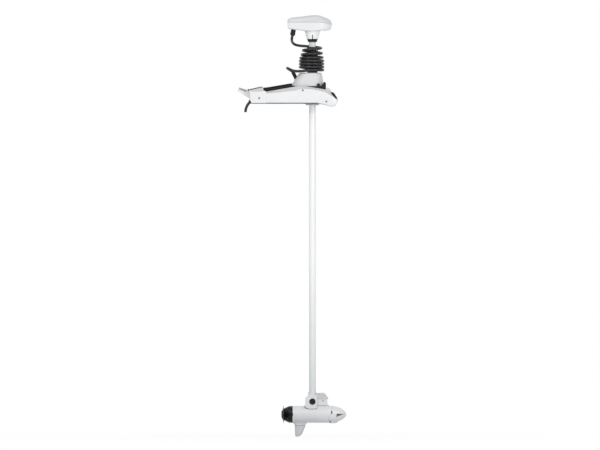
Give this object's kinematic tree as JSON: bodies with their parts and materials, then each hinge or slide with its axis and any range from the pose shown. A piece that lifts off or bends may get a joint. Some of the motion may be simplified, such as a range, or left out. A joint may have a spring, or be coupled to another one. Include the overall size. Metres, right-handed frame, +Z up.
{
  "type": "bow-mount trolling motor",
  "caption": "Bow-mount electric trolling motor: control head, coiled cable, folding deck mount with steering gears, long shaft and a lower unit with a propeller.",
  "frame": {"origin": "centre of the deck bolt pattern, on the underside of the mount", "axes": "+X to the bow, +Y to port, +Z up along the shaft"},
  "size_m": [0.561, 0.286, 2.1714],
  "materials": {
    "white_plastic": "smooth moulded",
    "pale_plastic": "moulded",
    "grey_plastic": "moulded",
    "white_metal": "powder coat",
    "grey_metal": "cast",
    "white_composite": "pultruded",
    "black_plastic": "glass filled",
    "black_rubber": "matte",
    "steel": "stainless",
    "windings": "enamelled wire",
    "circuit_board": "solder mask"
  },
  "bodies": {
    "base": {"floor_plate": "grey_metal", "starboard_frame": "grey_metal", "port_frame": "grey_metal", "starboard_cover": "white_plastic", "port_cover": "white_plastic", "rear_cap": "white_plastic", "starboard_rail": "black_rubber", "port_rail": "black_rubber", "front_bumpers": "black_rubber", "pivot_pin": "steel", "cover_screws": "steel", "pedal_pin": "steel", "pedal_spring": "steel", "power_gland": "black_plastic", "power_cable": "black_rubber"},
    "pedal": {"pedal": "white_plastic", "pedal_pad": "black_rubber"},
    "release_rod": {"release_rod": "steel"},
    "steering_housing": {"tilt_yoke": "black_plastic", "case_bottom": "grey_metal", "case_top": "grey_metal", "shroud": "white_plastic", "sleeve_bearings": "black_plastic", "bottom_ring": "pale_plastic", "steering_motor": "grey_metal", "cord_gland": "black_rubber", "coil_cord": "black_rubber"},
    "servo_pinion": {"servo_pinion": "steel"},
    "steering_sleeve": {"drive_sleeve": "black_plastic", "ring_gear": "steel"},
    "shaft": {"shaft_tube": "white_composite", "depth_collar": "black_plastic", "collet": "white_plastic", "collet_nut": "black_plastic", "head_base": "white_plastic", "head_gasket": "black_rubber", "head_cover": "white_plastic", "head_screws": "steel", "control_board": "circuit_board", "gps_antenna": "pale_plastic", "coil_plug": "black_plastic", "shaft_socket": "white_metal", "saddle_bolt": "steel", "bolt_caps": "black_plastic", "junction_housing": "pale_plastic", "junction_cap": "grey_plastic", "motor_can": "white_metal", "rear_bell": "white_metal", "nose_cone": "white_metal", "nose_screws": "steel", "skeg": "pale_plastic", "stator": "windings", "motor_bearings": "steel", "shaft_seal": "black_rubber"},
    "propeller": {"rotor": "steel", "motor_shaft": "steel", "drive_pin": "steel", "propeller": "black_plastic", "prop_nut": "black_plastic"}
  },
  "joints": [
    {"name": "tilt", "type": "hinge", "parent": "base", "child": "steering_housing", "pos_m": [0.088, 0, 0.048], "axis": [0, -1, 0], "range_deg": [0, 90]},
    {"name": "steer", "type": "hinge", "parent": "steering_housing", "child": "steering_sleeve", "pos_m": [0.18, 0, 0], "axis": [0, 0, 1], "range_deg": [-180, 180], "deforming": ["coil_cord"]},
    {"name": "servo_spin", "type": "hinge", "parent": "steering_housing", "child": "servo_pinion", "pos_m": [0.1305, 0, 0.05], "axis": [0, 0, 1], "range_deg": [-480, 480]},
    {"name": "lift", "type": "slide", "parent": "steering_sleeve", "child": "shaft", "axis": [0, 0, 1], "range_m": [0, 1.27], "deforming": ["coil_cord"]},
    {"name": "prop_spin", "type": "hinge", "parent": "shaft", "child": "propeller", "pos_m": [0.05, 0, -1.6], "axis": [1, 0, 0], "continuous": true},
    {"name": "pedal_press", "type": "hinge", "parent": "base", "child": "pedal", "pos_m": [-0.149, 0, 0.07], "axis": [0, -1, 0], "range_deg": [0, 18], "stiffness_Nm_per_rad": 3, "springref_deg": -17.19},
    {"name": "rod_slide", "type": "slide", "parent": "base", "child": "release_rod", "axis": [1, 0, 0], "range_m": [0, 0.0118]}
  ],
  "couplings": [
    {"joint": "servo_spin", "follows": "steer", "ratio": -2.6667},
    {"joint": "rod_slide", "follows": "pedal_press", "m_per_rad": 0.037}
  ]
}
